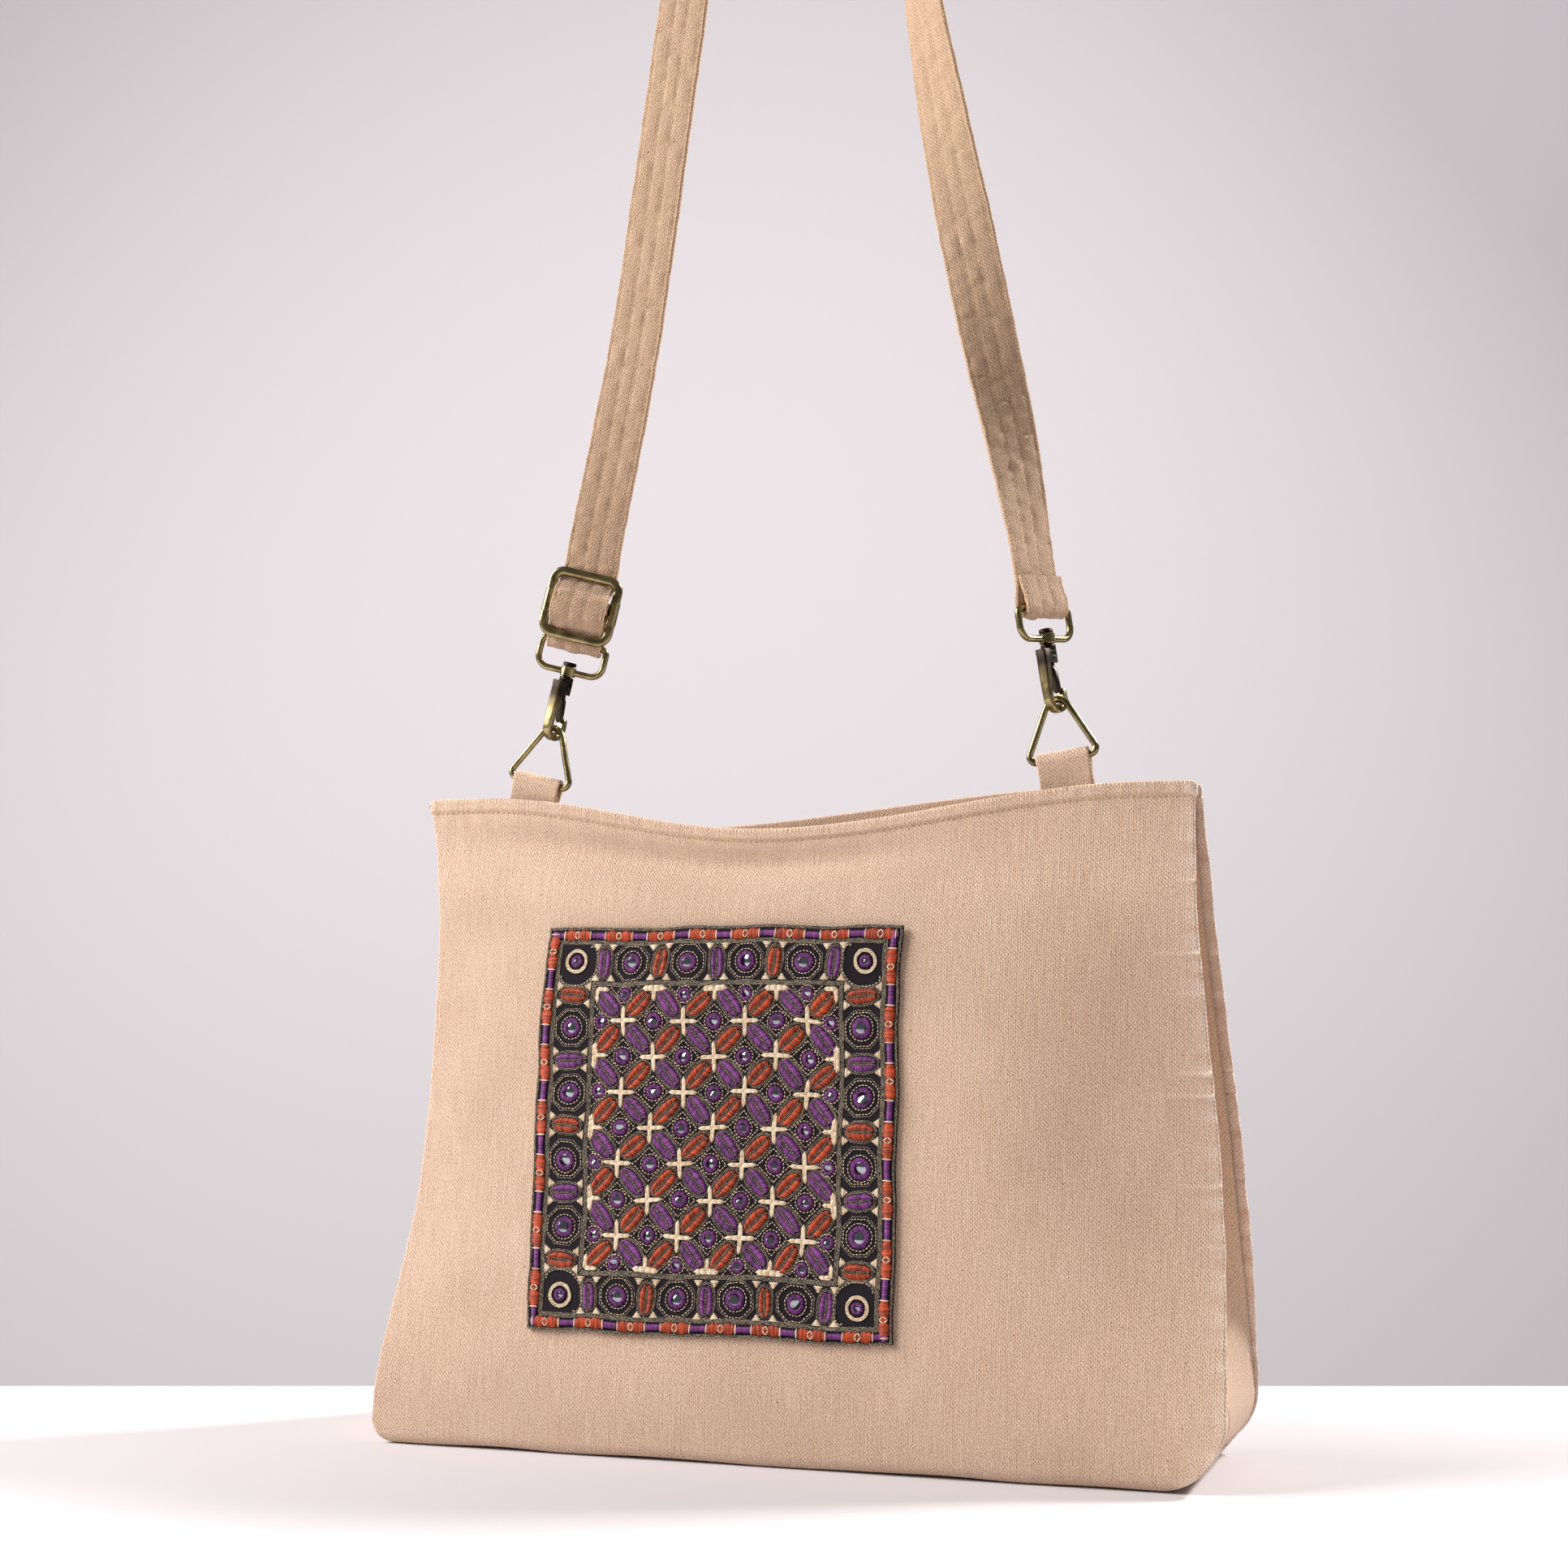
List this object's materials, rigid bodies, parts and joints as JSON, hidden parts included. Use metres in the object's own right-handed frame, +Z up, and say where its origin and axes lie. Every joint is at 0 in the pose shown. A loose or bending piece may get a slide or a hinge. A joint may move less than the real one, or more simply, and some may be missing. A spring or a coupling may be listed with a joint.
{
  "type": "embroidered sling bag",
  "caption": "Soft twill shoulder bag with folded side gussets, a mirror-work embroidered patch on the front, and an adjustable strap on swivel snap hooks.",
  "frame": {"origin": "under side of the strap at its highest point, where it hangs over a shoulder, hand or peg", "axes": "+Z up, +X to the bag's right as seen from the front, the embroidered front faces -Y"},
  "size_m": [0.3797, 0.1006, 0.9224],
  "materials": {
    "twill": "matte cotton twill, warm beige",
    "embroidery": "black cloth covered with purple, rust, cream and taupe stitching and small mirrors",
    "antique_brass": "antiqued, brushed satin, darker in recesses",
    "blackened_brass": "blackened satin"
  },
  "bodies": {
    "root": {"front_panel": "twill", "back_panel": "twill", "gusset_left": "twill", "gusset_right": "twill", "base_panel": "twill", "embroidered_patch": "embroidery", "tab_left": "twill", "tab_right": "twill", "strap": "twill", "triangle_ring_left": "antique_brass", "triangle_ring_right": "antique_brass", "swivel_eye_left": "antique_brass", "swivel_eye_right": "antique_brass", "slider_frame": "antique_brass", "slider_bar": "antique_brass"},
    "hook_left_body": {"hook_left": "antique_brass"},
    "hook_right_body": {"hook_right": "antique_brass"},
    "gate_left_body": {"gate_left": "blackened_brass"},
    "gate_right_body": {"gate_right": "blackened_brass"}
  },
  "joints": [
    {"name": "swivel_left", "type": "hinge", "parent": "root", "child": "hook_left_body", "pos_m": [-0.11113, 0, -0.57129], "axis": [0.2504, 0, 0.9681], "range_deg": [-15, 40]},
    {"name": "swivel_right", "type": "hinge", "parent": "root", "child": "hook_right_body", "pos_m": [0.11607, 0, -0.56611], "axis": [-0.1392, 0, 0.9903], "range_deg": [-4, 52]},
    {"name": "gate_hinge_left", "type": "hinge", "parent": "hook_left_body", "child": "gate_left_body", "pos_m": [-0.11321, 0.00019, -0.57953], "axis": [-0.9433, 0.225, 0.244], "range_deg": [0, 15], "stiffness_Nm_per_rad": 0.01, "springref_deg": -20.05},
    {"name": "gate_hinge_right", "type": "hinge", "parent": "hook_right_body", "child": "gate_right_body", "pos_m": [0.11733, 0.00018, -0.57452], "axis": [-0.8975, 0.4226, -0.1261], "range_deg": [0, 15], "stiffness_Nm_per_rad": 0.01, "springref_deg": -20.05}
  ]
}
